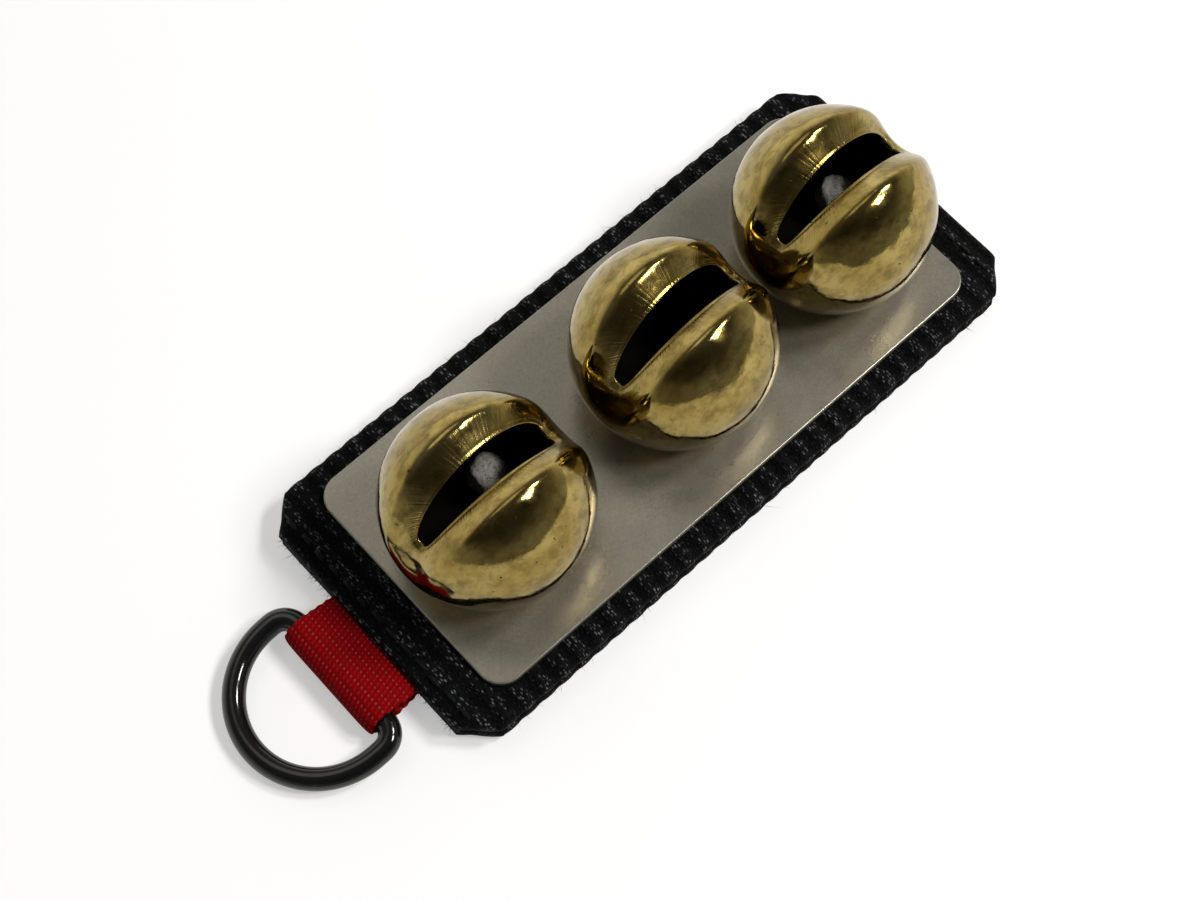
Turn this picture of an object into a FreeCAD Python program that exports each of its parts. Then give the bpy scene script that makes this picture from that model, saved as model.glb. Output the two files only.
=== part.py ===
"""Strap-mounted set of three slotted crotal bells on a metal plate, with a webbing pad and a D-ring.

Frame: +Z up, origin at the middle of the pad's underside, +X along the strap away from the D-ring.
Every length is in millimetres and every angle in degrees.
"""

import FreeCAD, Part

import math
import os

import Sketcher

Vector = FreeCAD.Vector
Rotation = FreeCAD.Rotation
Placement = FreeCAD.Placement

# Driving dimensions: alias, value, meaning.
SIZES = [
    ("webbing_length", 115.0, "strap pad, end to end"),
    ("webbing_width", 50.8, "strap pad, edge to edge"),
    ("webbing_thickness", 3.1, "one layer of webbing"),
    ("corner_cut", 5.0, "each corner of the pad is cut off at 45 degrees"),
    ("plate_length", 100.0, "mounting plate along the strap"),
    ("plate_width", 42.6, "mounting plate across the strap"),
    ("plate_thickness", 1.0, "mounting plate sheet"),
    ("plate_corner_radius", 4.0, "rounded corners of the plate"),
    ("plate_edge_radius", 0.25, "softened upper edge of the plate"),
    ("plate_shift", 0.4, "plate centre from the pad centre, along the strap"),
    ("bell_radius", 16.0, "outside of a bell"),
    ("bell_wall", 1.0, "brass sheet of a bell"),
    ("bell_foot_radius", 9.6, "flat underside of a bell"),
    ("bell_row_shift", -1.6, "row of bells from the pad's centre line"),
    ("bell_middle_x", 3.4, "middle bell from the pad centre, along the strap"),
    ("bell_gap_ring_side", 4.9, "gap between the first and the middle bell"),
    ("bell_gap_far_side", 1.4, "gap between the middle and the last bell"),
    ("seam_drop", 4.8, "seam of the two shells below the bell's centre"),
    ("cleft_depth", 4.0, "cleft below the sphere, at the top"),
    ("cleft_half_width", 6.5, "middle of the cleft to either crest"),
    ("cleft_end_angle", 105.0, "where the cleft runs out, from the top"),
    ("slot_length", 24.2, "sound slot along the strap"),
    ("slot_width", 5.8, "sound slot at its middle"),
    ("rivet_shank_radius", 2.0, "rivet shank"),
    ("rivet_head_radius", 3.5, "domed head inside the bell"),
    ("rivet_head_height", 1.4, "domed head inside the bell"),
    ("rivet_tail_radius", 2.9, "clinched end under the washer"),
    ("rivet_tail_height", 0.7, "clinched end under the washer"),
    ("rivet_hole_clearance", 0.05, "radial clearance of every rivet hole"),
    ("washer_radius", 5.0, "washer between the webbing layers"),
    ("washer_thickness", 0.8, "washer between the webbing layers"),
    ("recess_clearance", 0.2, "pocket in the lower layer round washer and rivet end"),
    ("clapper_radius", 3.4, "loose pellet"),
    ("clapper_side_gap", 0.5, "pellet to the side of the rivet head"),
    ("clapper_floor_gap", 0.3, "pellet to the floor of the bell"),
    ("ring_wire_radius", 1.8, "wire of the D-ring"),
    ("ring_inner_width", 22.4, "opening of the D-ring along its bar"),
    ("ring_corner_radius", 3.0, "bend at each end of the bar, on the wire's centre line"),
    ("ring_bow_offset", 4.1, "centre of the bow from the bar"),
    ("tab_width", 20.0, "tape that holds the ring"),
    ("tab_thickness", 1.2, "one ply of the tape"),
    ("tab_reach", 6.5, "bar of the ring from the end of the pad"),
    ("tab_insert", 15.5, "tape sewn in between the layers"),
    ("tab_row_shift", -2.1, "tape and ring from the pad's centre line"),
    ("tab_eye_clearance", 0.1, "tape to the bar, all round"),
    ("stitch_length", 2.4, "one stitch"),
    ("stitch_pitch", 3.3, "stitch to stitch"),
    ("stitch_radius", 0.35, "half-round sewing thread"),
    ("stitch_row_span", 40.0, "length of each row of stitches"),
    ("ring_row_inset", 2.6, "row of stitches from the ring end of the pad"),
    ("far_row_inset", 3.5, "row of stitches from the far end of the pad"),
]

# Which way each pellet lies from its rivet, from +X towards +Y.
CLAPPER_ANGLES = (52.0, -75.0, 35.0)

# Expressions that several pieces share.
PLATE_TOP = "(2 * Sizes.webbing_thickness + Sizes.plate_thickness)"
BELL_HEIGHT = "sqrt(Sizes.bell_radius ^ 2 - Sizes.bell_foot_radius ^ 2)"
BELL_CENTRE_Z = f"({PLATE_TOP} + {BELL_HEIGHT})"
BELL_X = (
    "(Sizes.bell_middle_x - 2 * Sizes.bell_radius - Sizes.bell_gap_ring_side)",
    "(Sizes.bell_middle_x)",
    "(Sizes.bell_middle_x + 2 * Sizes.bell_radius + Sizes.bell_gap_far_side)",
)
HOLE_RADIUS = "(Sizes.rivet_shank_radius + Sizes.rivet_hole_clearance)"
BAR_X = "(-Sizes.webbing_length / 2 - Sizes.tab_reach)"
INNER_RADIUS = "(Sizes.bell_radius - Sizes.bell_wall)"
CLEFT_FLOOR = "(Sizes.bell_radius - Sizes.cleft_depth)"
CLEFT_SAG = f"(sqrt(Sizes.bell_radius ^ 2 - Sizes.cleft_half_width ^ 2) - {CLEFT_FLOOR})"
CLEFT_TUBE = f"((Sizes.cleft_half_width ^ 2 + {CLEFT_SAG} ^ 2) / (2 * {CLEFT_SAG}))"
CLEFT_DROP = (
    f"((Sizes.bell_radius ^ 2 - {CLEFT_FLOOR} ^ 2)"
    f" / (2 * {CLEFT_FLOOR} - 2 * Sizes.bell_radius * cos(Sizes.cleft_end_angle)))"
)
CLEFT_RING = f"({CLEFT_FLOOR} + {CLEFT_DROP} + {CLEFT_TUBE})"

doc = FreeCAD.newDocument("BellStrap")
sheet = doc.addObject("Spreadsheet::Sheet", "Sizes")
for row, (alias, value, meaning) in enumerate(SIZES, start=1):
    sheet.set(f"A{row}", alias)
    sheet.set(f"B{row}", str(value))
    sheet.set(f"C{row}", meaning)
    sheet.setAlias(f"B{row}", alias)
doc.recompute()

nodes = []


def value(expression):
    """Work out an expression of sheet values."""
    result = sheet.evalExpression(expression)
    return float(getattr(result, "Value", result))


def bind(feature, **bindings):
    """Bind properties to expressions of sheet values."""
    for name, expression in bindings.items():
        feature.setExpression(name, expression)


def place(feature, x="0", y="0", z="0"):
    """Bind where a feature stands."""
    for axis, expression in (("x", x), ("y", y), ("z", z)):
        feature.setExpression(f"Placement.Base.{axis}", expression)


def finished(feature, label):
    """Name a sub-part and list it for export."""
    feature.Label = label
    nodes.append(feature)
    return feature


def origin_plane(body, role):
    """Find one of a body's own origin planes."""
    return next(plane for plane in body.Origin.OriginFeatures if plane.Role == role)


def new_sketch(body, name, role, lift=None):
    """Attach an empty sketch to an origin plane, raised by an expression where one is given."""
    sketch = body.newObject("Sketcher::SketchObject", name)
    sketch.AttachmentSupport = [(origin_plane(body, role), "")]
    sketch.MapMode = "FlatFace"
    if lift:
        sketch.setExpression("AttachmentOffset.Base.z", lift)
    return sketch


def measure(sketch, kind, *reference, expression):
    """Add one dimension to a sketch and bind it."""
    index = sketch.addConstraint(Sketcher.Constraint(kind, *reference, value(expression)))
    sketch.setExpression(f"Constraints[{index}]", expression)


def locate(sketch, geometry, point, x, y):
    """Hold a point of a sketch at bound coordinates; "0" puts it on the axis."""
    for kind, axis, expression in (("DistanceX", -2, x), ("DistanceY", -1, y)):
        if expression == "0":
            sketch.addConstraint(Sketcher.Constraint("PointOnObject", geometry, point, axis))
        else:
            measure(sketch, kind, -1, 1, geometry, point, expression=expression)


def outline(sketch, corners):
    """Draw a closed outline. A corner is (x, y), or (x, y, centre x, centre y, radius) for an arc
    that runs from this corner to the next one; the centre only picks the side."""
    points = [Vector(value(corner[0]), value(corner[1]), 0) for corner in corners]
    count = len(corners)
    for index, corner in enumerate(corners):
        start = points[index]
        end = points[(index + 1) % count]
        if len(corner) == 2:
            sketch.addGeometry(Part.LineSegment(start, end))
            continue
        centre = Vector(value(corner[2]), value(corner[3]), 0)
        half_way = (start + end) * 0.5 - centre
        half_way.normalize()
        middle = centre + half_way * value(corner[4])
        sketch.addGeometry(Part.Arc(start, middle, end))
    for index, corner in enumerate(corners):
        here, there = end_points(sketch, index, points[index])
        following = (index + 1) % count
        next_here, _ = end_points(sketch, following, points[following])
        sketch.addConstraint(Sketcher.Constraint("Coincident", index, there, following, next_here))
    for index, corner in enumerate(corners):
        here, _ = end_points(sketch, index, points[index])
        locate(sketch, index, here, corner[0], corner[1])
        if len(corner) == 5:
            measure(sketch, "Radius", index, expression=corner[4])


def end_points(sketch, index, start):
    """Tell which end of a line or an arc is its start in the outline."""
    first = sketch.Geometry[index].StartPoint
    return (1, 2) if first.distanceToPoint(start) < 1e-6 else (2, 1)


def circle(sketch, x, y, radius):
    """Draw a bound circle."""
    geometry = sketch.addGeometry(
        Part.Circle(Vector(value(x), value(y), 0), Vector(0, 0, 1), value(radius))
    )
    locate(sketch, geometry, 3, x, y)
    measure(sketch, "Radius", geometry, expression=radius)


def pad(body, sketch, length, both_sides=False):
    """Pad a sketch by a bound length."""
    feature = body.newObject("PartDesign::Pad", sketch.Name + "Pad")
    feature.Profile = sketch
    feature.setExpression("Length", length)
    feature.Midplane = both_sides
    doc.recompute()
    return feature


def cut_down(body, sketch, depth):
    """Pocket a sketch by a bound depth and make sure that it removes material."""
    before = body.Shape.Volume
    feature = body.newObject("PartDesign::Pocket", sketch.Name + "Pocket")
    feature.Profile = sketch
    feature.setExpression("Length", depth)
    doc.recompute()
    if body.Shape.Volume > before - 1e-6:
        feature.Reversed = True
        doc.recompute()
    if body.Shape.Volume > before - 1e-6:
        raise RuntimeError(f"{sketch.Name} cuts nothing")
    return feature


def revolve(body, sketch):
    """Turn a sketch in the XZ plane once round the body's Z axis."""
    feature = body.newObject("PartDesign::Revolution", sketch.Name + "Turn")
    feature.Profile = sketch
    feature.ReferenceAxis = (sketch, ["V_Axis"])
    feature.Angle = 360.0
    doc.recompute()
    return feature


def primitive(kind, name, **bindings):
    """Make a Part primitive with bound sizes."""
    feature = doc.addObject(kind, name)
    bind(feature, **bindings)
    return feature


def subtract(name, base, *tools):
    """Cut tools from a base, one after another."""
    result = base
    for index, tool in enumerate(tools):
        step = doc.addObject("Part::Cut", name if index == 0 else f"{name}{index + 1}")
        step.Base = result
        step.Tool = tool
        result = step
    return result


def pad_outline(sketch):
    """The strap pad's outline: a rectangle with its four corners cut off."""
    end = "Sizes.webbing_length / 2"
    side = "Sizes.webbing_width / 2"
    end_cut = f"({end} - Sizes.corner_cut)"
    side_cut = f"({side} - Sizes.corner_cut)"
    outline(sketch, [
        (f"-{end}", f"-{side_cut}"),
        (f"-{end_cut}", f"-({side})"),
        (end_cut, f"-({side})"),
        (end, f"-{side_cut}"),
        (end, side_cut),
        (end_cut, side),
        (f"-{end_cut}", side),
        (f"-{end}", side_cut),
    ])


def tab_outline(sketch):
    """The part of a layer's face that the tape lies on, run out past the pad's end."""
    outside = "(-Sizes.webbing_length / 2 - Sizes.tab_thickness)"
    inside = "(-Sizes.webbing_length / 2 + Sizes.tab_insert)"
    low = "(Sizes.tab_row_shift - Sizes.tab_width / 2)"
    high = "(Sizes.tab_row_shift + Sizes.tab_width / 2)"
    outline(sketch, [(outside, low), (inside, low), (inside, high), (outside, high)])


def bell_circles(sketch, radius, x_shift="0"):
    """One circle under each bell."""
    for x in BELL_X:
        circle(sketch, f"{x} - {x_shift}", "Sizes.bell_row_shift", radius)


def webbing_lower():
    """Bottom layer, with pockets for the tape's lower ply and for washers and rivet ends."""
    body = doc.addObject("PartDesign::Body", "WebbingLower")
    sketch = new_sketch(body, "LowerOutline", "XY_Plane")
    pad_outline(sketch)
    pad(body, sketch, "Sizes.webbing_thickness")
    tab_seat = new_sketch(body, "LowerTabSeat", "XY_Plane", "Sizes.webbing_thickness")
    tab_outline(tab_seat)
    cut_down(body, tab_seat, "Sizes.tab_thickness")
    washer_seats = new_sketch(body, "WasherSeats", "XY_Plane", "Sizes.webbing_thickness")
    bell_circles(washer_seats, "Sizes.washer_radius + Sizes.recess_clearance")
    cut_down(
        body, washer_seats,
        "Sizes.washer_thickness + Sizes.rivet_tail_height + Sizes.recess_clearance",
    )
    finished(body, "webbing_lower")


def webbing_upper():
    """Top layer, with a pocket for the tape's upper ply and the rivet holes."""
    body = doc.addObject("PartDesign::Body", "WebbingUpper")
    sketch = new_sketch(body, "UpperOutline", "XY_Plane")
    pad_outline(sketch)
    pad(body, sketch, "Sizes.webbing_thickness")
    tab_seat = new_sketch(body, "UpperTabSeat", "XY_Plane", "Sizes.tab_thickness")
    tab_outline(tab_seat)
    cut_down(body, tab_seat, "Sizes.tab_thickness")
    holes = new_sketch(body, "UpperRivetHoles", "XY_Plane", "Sizes.webbing_thickness")
    bell_circles(holes, HOLE_RADIUS)
    cut_down(body, holes, "Sizes.webbing_thickness")
    place(body, z="Sizes.webbing_thickness")
    finished(body, "webbing_upper")


def mounting_plate():
    """Sheet-metal plate with rounded corners, a softened upper edge and the rivet holes."""
    body = doc.addObject("PartDesign::Body", "MountingPlate")
    sketch = new_sketch(body, "PlateOutline", "XY_Plane")
    end = "Sizes.plate_length / 2"
    side = "Sizes.plate_width / 2"
    outline(sketch, [(f"-{end}", f"-{side}"), (end, f"-{side}"), (end, side), (f"-{end}", side)])
    sheet_metal = pad(body, sketch, "Sizes.plate_thickness")
    upright = [
        f"Edge{index}"
        for index, edge in enumerate(body.Shape.Edges, start=1)
        if abs(edge.tangentAt(edge.FirstParameter).z) > 0.9
    ]
    corners = body.newObject("PartDesign::Fillet", "PlateCorners")
    corners.Base = (sheet_metal, upright)
    corners.setExpression("Radius", "Sizes.plate_corner_radius")
    doc.recompute()
    top = value("Sizes.plate_thickness")
    rim = [
        f"Edge{index}"
        for index, edge in enumerate(body.Shape.Edges, start=1)
        if abs(edge.BoundBox.ZMin - top) < 1e-4
    ]
    softened = body.newObject("PartDesign::Fillet", "PlateUpperEdge")
    softened.Base = (corners, rim)
    softened.setExpression("Radius", "Sizes.plate_edge_radius")
    doc.recompute()
    holes = new_sketch(body, "PlateRivetHoles", "XY_Plane", "Sizes.plate_thickness")
    bell_circles(holes, HOLE_RADIUS, x_shift="Sizes.plate_shift")
    cut_down(body, holes, "Sizes.plate_thickness")
    place(body, x="Sizes.plate_shift", z="2 * Sizes.webbing_thickness")
    finished(body, "mounting_plate")


def ring_tab():
    """Tape folded round the bar: two plies between the layers and a drop-shaped eye outside.

    The profile lies in the XZ plane with the bar at its origin. The outer faces leave the mouth of
    the pad and touch the eye's circle where its radius makes the angle `touch` with +X."""
    body = doc.addObject("PartDesign::Body", "RingTab")
    mouth = "Sizes.tab_reach"
    ply = "Sizes.tab_thickness"
    bore = "(Sizes.ring_wire_radius + Sizes.tab_eye_clearance)"
    eye = f"({bore} + {ply})"
    touch = f"(atan({ply} / {mouth}) + acos({eye} / sqrt({mouth} ^ 2 + {ply} ^ 2)))"
    inner_end = "(Sizes.tab_reach + Sizes.tab_insert)"
    profile = new_sketch(body, "TabProfile", "XZ_Plane")
    outline(profile, [
        (inner_end, ply),
        (mouth, ply),
        (f"{eye} * cos({touch})", f"{eye} * sin({touch})", "0", "0", eye),
        (f"-{eye}", "0", "0", "0", eye),
        (f"{eye} * cos({touch})", f"-{eye} * sin({touch})"),
        (mouth, f"-{ply}"),
        (inner_end, f"-{ply}"),
    ])
    pad(body, profile, "Sizes.tab_width", both_sides=True)
    hollow = new_sketch(body, "TabEye", "XZ_Plane")
    outline(hollow, [
        (f"{bore} / cos({touch})", "0"),
        (f"{bore} * cos({touch})", f"{bore} * sin({touch})", "0", "0", bore),
        (f"-{bore}", "0", "0", "0", bore),
        (f"{bore} * cos({touch})", f"-{bore} * sin({touch})"),
    ])
    opening = cut_down(body, hollow, "Sizes.tab_width")
    opening.Type = "ThroughAll"
    opening.Midplane = True
    doc.recompute()
    place(body, x=BAR_X, y="Sizes.tab_row_shift", z="Sizes.webbing_thickness")
    finished(body, "ring_tab")


def d_ring():
    """Wire ring: a bar through the tape's eye, two bends and a half-round bow.

    It leans down about its bar until the bow lies on the surface that the pad stands on."""
    body = doc.addObject("PartDesign::Body", "DRing")
    half = "(Sizes.ring_inner_width / 2 + Sizes.ring_wire_radius)"
    bend = "Sizes.ring_corner_radius"
    bow = "Sizes.ring_bow_offset"
    bar_end = f"({half} - {bend})"
    path = new_sketch(body, "RingPath", "XY_Plane")
    outline(path, [
        ("0", "0"),
        ("0", bar_end, f"-{bend}", bar_end, bend),
        (f"-{bend}", half),
        (f"-{bow}", half, f"-{bow}", "0", half),
        (f"-({bow} + {half})", "0", f"-{bow}", "0", half),
        (f"-{bow}", f"-{half}"),
        (f"-{bend}", f"-{half}", f"-{bend}", f"-{bar_end}", bend),
        ("0", f"-{bar_end}"),
    ])
    section = new_sketch(body, "RingSection", "XZ_Plane")
    circle(section, "0", "0", "Sizes.ring_wire_radius")
    doc.recompute()
    wire = body.newObject("PartDesign::AdditivePipe", "RingWire")
    wire.Profile = section
    wire.Spine = (path, [f"Edge{index + 1}" for index in range(len(path.Shape.Edges))])
    doc.recompute()
    reach = f"({bow} + {half})"
    lean = f"asin((Sizes.webbing_thickness - Sizes.ring_wire_radius) / {reach})"
    body.Placement = Placement(Vector(), Rotation(Vector(0, -1, 0), value(lean)))
    body.setExpression("Placement.Rotation.Angle", lean)
    place(body, x=BAR_X, y="Sizes.tab_row_shift", z="Sizes.webbing_thickness")
    finished(body, "d_ring")


def stitch_row(label, x):
    """A row of half-round stitches lying on the pad's upper face, parallel to its end."""
    count = int(value("Sizes.stitch_row_span") / value("Sizes.stitch_pitch")) + 1
    row = doc.addObject("Part::Compound", label)
    flat_side_down = Rotation(Vector(1, 0, 0), -90.0) * Rotation(Vector(0, 0, 1), 180.0)
    stitches = []
    for index in range(count):
        stitch = primitive(
            "Part::Cylinder", f"{label}_{index + 1}",
            Radius="Sizes.stitch_radius", Height="Sizes.stitch_length",
        )
        stitch.Angle = 180.0
        stitch.Placement = Placement(Vector(), flat_side_down)
        middle = f"({index} - {(count - 1) / 2}) * Sizes.stitch_pitch"
        place(stitch, x=x, y=f"{middle} - Sizes.stitch_length / 2", z="2 * Sizes.webbing_thickness")
        stitches.append(stitch)
    row.Links = stitches
    finished(row, label)


def upper_shell(number, x):
    """Domed half of a bell: a sphere with a cleft along the strap and the sound slot in the cleft.

    The cleft is a ring-shaped cut about an axis along Y that lies below the bell's centre, so it is
    deepest at the top and runs out at both ends. The hollow has the same cleft, one wall deeper."""
    name = f"Bell{number}Upper"
    outer = primitive("Part::Sphere", name + "Outer", Radius="Sizes.bell_radius")
    outer.setExpression("Angle1", "-asin(Sizes.seam_drop / Sizes.bell_radius)")
    inner = primitive("Part::Sphere", name + "Inner", Radius=INNER_RADIUS)
    across = Rotation(Vector(1, 0, 0), 90.0)
    tori = []
    for side, tube in (("Outside", CLEFT_TUBE), ("Inside", f"{CLEFT_TUBE} + Sizes.bell_wall")):
        torus = primitive("Part::Torus", f"{name}Cleft{side}", Radius1=CLEFT_RING, Radius2=tube)
        torus.Placement = Placement(Vector(), across)
        torus.setExpression("Placement.Base.z", f"-{CLEFT_DROP}")
        tori.append(torus)
    half_length = "(Sizes.slot_length / 2)"
    half_width = "(Sizes.slot_width / 2)"
    side_radius = f"(({half_length} ^ 2 + {half_width} ^ 2) / (2 * {half_width}))"
    sides = []
    for side, sign in (("Left", ""), ("Right", "-")):
        barrel = primitive(
            "Part::Cylinder", f"{name}Slot{side}", Radius=side_radius, Height="Sizes.bell_radius"
        )
        place(barrel, y=f"{sign}({side_radius} - {half_width})")
        sides.append(barrel)
    slot = doc.addObject("Part::Common", name + "Slot")
    slot.Base, slot.Tool = sides
    clefted = subtract(name + "Clefted", outer, tori[0])
    hollow = subtract(name + "Hollow", inner, tori[1])
    shell = subtract(name, clefted, hollow, slot)
    place(shell, x=x, y="Sizes.bell_row_shift", z=BELL_CENTRE_Z)
    finished(shell, f"bell_{number}_upper_shell")


def lower_shell(number, x):
    """Cup-shaped half of a bell, with a flat foot and a hole for the rivet."""
    name = f"Bell{number}Lower"
    outer = primitive("Part::Sphere", name + "Outer", Radius="Sizes.bell_radius")
    outer.setExpression("Angle1", f"-asin({BELL_HEIGHT} / Sizes.bell_radius)")
    outer.setExpression("Angle2", "-asin(Sizes.seam_drop / Sizes.bell_radius)")
    inner = primitive("Part::Sphere", name + "Inner", Radius=INNER_RADIUS)
    inner.setExpression("Angle1", f"-asin(({BELL_HEIGHT} - Sizes.bell_wall) / {INNER_RADIUS})")
    hole = primitive("Part::Cylinder", name + "Hole", Radius=HOLE_RADIUS, Height=BELL_HEIGHT)
    place(hole, z=f"-{BELL_HEIGHT}")
    cup = subtract(name, outer, inner, hole)
    place(cup, x=x, y="Sizes.bell_row_shift", z=BELL_CENTRE_Z)
    finished(cup, f"bell_{number}_lower_shell")


def clapper(number, x, angle):
    """Loose pellet, lying beside the rivet head."""
    pellet = primitive("Part::Sphere", f"Bell{number}Clapper", Radius="Sizes.clapper_radius")
    orbit = "(Sizes.rivet_head_radius + Sizes.clapper_radius + Sizes.clapper_side_gap)"
    place(
        pellet,
        x=f"{x} + {orbit} * cos({angle})",
        y=f"Sizes.bell_row_shift + {orbit} * sin({angle})",
        z=f"{PLATE_TOP} + Sizes.bell_wall + Sizes.clapper_floor_gap + Sizes.clapper_radius",
    )
    finished(pellet, f"bell_{number}_clapper")


def rivet(number, x):
    """Rivet: domed head on the bell's floor, shank through plate and webbing, clinched end."""
    body = doc.addObject("PartDesign::Body", f"Bell{number}Rivet")
    grip = (
        "(Sizes.bell_wall + Sizes.plate_thickness + Sizes.webbing_thickness"
        " + Sizes.washer_thickness)"
    )
    head = "Sizes.rivet_head_radius"
    rise = "Sizes.rivet_head_height"
    dome = f"(({head} ^ 2 + {rise} ^ 2) / (2 * {rise}))"
    profile = new_sketch(body, f"Rivet{number}Profile", "XZ_Plane")
    outline(profile, [
        ("0", f"-({grip} + Sizes.rivet_tail_height)"),
        ("Sizes.rivet_tail_radius", f"-({grip} + Sizes.rivet_tail_height)"),
        ("Sizes.rivet_tail_radius", f"-{grip}"),
        ("Sizes.rivet_shank_radius", f"-{grip}"),
        ("Sizes.rivet_shank_radius", "0"),
        (head, "0", "0", f"{rise} - {dome}", dome),
        ("0", rise),
    ])
    revolve(body, profile)
    place(body, x=x, y="Sizes.bell_row_shift", z=f"{PLATE_TOP} + Sizes.bell_wall")
    finished(body, f"bell_{number}_rivet")


def washer(number, x):
    """Washer under the upper layer, held by the rivet's clinched end."""
    name = f"Bell{number}Washer"
    disc = primitive(
        "Part::Cylinder", name + "Disc",
        Radius="Sizes.washer_radius", Height="Sizes.washer_thickness",
    )
    hole = primitive(
        "Part::Cylinder", name + "Hole", Radius=HOLE_RADIUS, Height="Sizes.washer_thickness"
    )
    ring = subtract(name, disc, hole)
    place(
        ring, x=x, y="Sizes.bell_row_shift",
        z="Sizes.webbing_thickness - Sizes.washer_thickness",
    )
    finished(ring, f"bell_{number}_washer")


def build():
    """Make every sub-part."""
    webbing_lower()
    webbing_upper()
    mounting_plate()
    ring_tab()
    d_ring()
    stitch_row("ring_end_stitching", "-Sizes.webbing_length / 2 + Sizes.ring_row_inset")
    stitch_row("far_end_stitching", "Sizes.webbing_length / 2 - Sizes.far_row_inset")
    for number, (x, angle) in enumerate(zip(BELL_X, CLAPPER_ANGLES), start=1):
        upper_shell(number, x)
        lower_shell(number, x)
        clapper(number, x, angle)
        rivet(number, x)
        washer(number, x)
    doc.recompute()


def check():
    """Stop if any object failed or any sub-part's shape is null or not valid."""
    for item in doc.Objects:
        if {"Invalid", "Error"} & set(item.State):
            raise RuntimeError(f"{item.Name} failed: {item.State}")
    for node in nodes:
        if node.Shape.isNull() or not node.Shape.isValid() or not node.Shape.Solids:
            raise RuntimeError(f"{node.Label} has no valid solid")


def export():
    """Write one STEP file for each sub-part."""
    os.makedirs("parts", exist_ok=True)
    for node in nodes:
        node.Shape.exportStep(os.path.join("parts", f"{node.Label}.step"))
        box = node.Shape.optimalBoundingBox(False)
        print(
            f"{node.Label}: {len(node.Shape.Solids)} solid(s), {node.Shape.Volume:.1f} mm3,"
            f" x {box.XMin:.2f}..{box.XMax:.2f}, y {box.YMin:.2f}..{box.YMax:.2f},"
            f" z {box.ZMin:.2f}..{box.ZMax:.2f}"
        )


build()
check()
export()
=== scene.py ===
"""Three slotted jingle bells riveted to a plate on a doubled webbing pad, with a ring in a tape tab."""

import math

import bmesh
import bpy
import numpy as np
from mathutils import Matrix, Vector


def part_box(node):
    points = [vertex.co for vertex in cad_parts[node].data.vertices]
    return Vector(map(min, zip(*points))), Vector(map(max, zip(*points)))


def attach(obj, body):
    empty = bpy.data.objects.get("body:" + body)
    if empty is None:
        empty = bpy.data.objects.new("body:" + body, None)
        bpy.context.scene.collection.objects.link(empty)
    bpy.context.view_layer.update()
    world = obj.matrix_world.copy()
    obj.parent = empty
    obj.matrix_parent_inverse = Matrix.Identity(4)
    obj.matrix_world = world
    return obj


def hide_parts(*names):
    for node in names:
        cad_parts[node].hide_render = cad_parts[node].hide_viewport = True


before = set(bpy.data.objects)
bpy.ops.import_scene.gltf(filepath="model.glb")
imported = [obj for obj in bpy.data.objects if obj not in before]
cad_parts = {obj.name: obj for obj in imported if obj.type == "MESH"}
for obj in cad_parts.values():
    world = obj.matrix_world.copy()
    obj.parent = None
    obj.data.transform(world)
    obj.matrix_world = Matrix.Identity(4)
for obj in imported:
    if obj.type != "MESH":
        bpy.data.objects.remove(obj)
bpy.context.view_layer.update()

MM = 0.001
HALF_TURN = math.pi
FULL_TURN = 2 * math.pi
MERGE_DISTANCE = 1e-7
ALONG_X, ALONG_Y, ALONG_Z = 0, 1, 2
MIX_FIRST_COLOUR, MIX_SECOND_COLOUR, MIX_COLOUR_OUTPUT = 6, 7, 2
UP = np.array([0.0, 0.0, 1.0])
SIDEWAYS = np.array([0.0, 1.0, 0.0])

# Bells, in millimetres and radians.
BELL_NUMBERS = (1, 2, 3)
BELL_RADIUS = 16.0
BELL_WALL = 1.0
SEAM_DROP = 4.8
SEAM_BEVEL = 0.12
CENTRE_ABOVE_FOOT = 12.8
FOOT_BEND = 0.9
RIVET_HOLE = 2.05
CLEFT_DEPTH = 4.0
CLEFT_CURVE = 0.062
CLEFT_FADE = math.radians(105)
CLEFT_SHALLOW = 1.5
CREST_BLEND = 0.8
LIP_DROP = 0.45
LIP_FALL = 26.0 / 1.1
LIP_BULGE = 0.45
SLOT_TURN = math.radians(69)
SLOT_HALF_WIDTH = 2.9
SLOT_SWELL = 0.22
SLOT_EVEN_OUT = 1.02
SLOT_BLUNTNESS = 0.47
SLOT_BLUNTNESS_SHIFT = 0.08
SLOT_EASE = 0.2
SLOT_BEARINGS = {1: 1.0, 2: 4.0, 3: 1.0}
DENT_DEPTH = 0.05
DENT_LENGTHS = (5.0, 7.0, 9.0, 13.0)

# Pad and its sewing, in millimetres.
PAD_ENDS = ("ring_end", "far_end")
LAYER_THICKNESS = 3.1
RIB_PITCH = 3.6
RIB_DEPTH = 0.27
RIB_SHARPNESS = 1.6
SCALLOP = 0.16
CORNER_CUT = 5.0
EDGE_MARGIN = 0.1
EDGE_STEPS = 7
BUNDLE_PITCH = 1.27
BUNDLE_DEPTH = 0.07
SURFACE_WANDER = 0.03
RIB_WANDER = 0.08
WANDER_LENGTHS = (9.0, 14.0, 23.0)
POCKET_MARGIN = 0.3
THREAD_RADIUS = 0.36
STITCH_PITCH = 3.3
STITCH_LENGTH = 2.4

# Ring and tape, in millimetres.
BAR = np.array([-64.0, -2.1, LAYER_THICKNESS])
WIRE_RADIUS = 1.8
RING_HALF = 13.0
RING_BEND = 3.0
BOW_OFFSET = 4.1
TAB_PLY = 1.2
TAB_CLEARANCE = 0.1
TAB_HALF_WIDTH = 10.0
TAB_MOUTH = 6.5
TAB_INNER_END = 22.0
TAB_RIB_PITCH = 1.45
TAB_SLANT = 0.3
TAB_YARN_PITCH = 0.8

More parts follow.
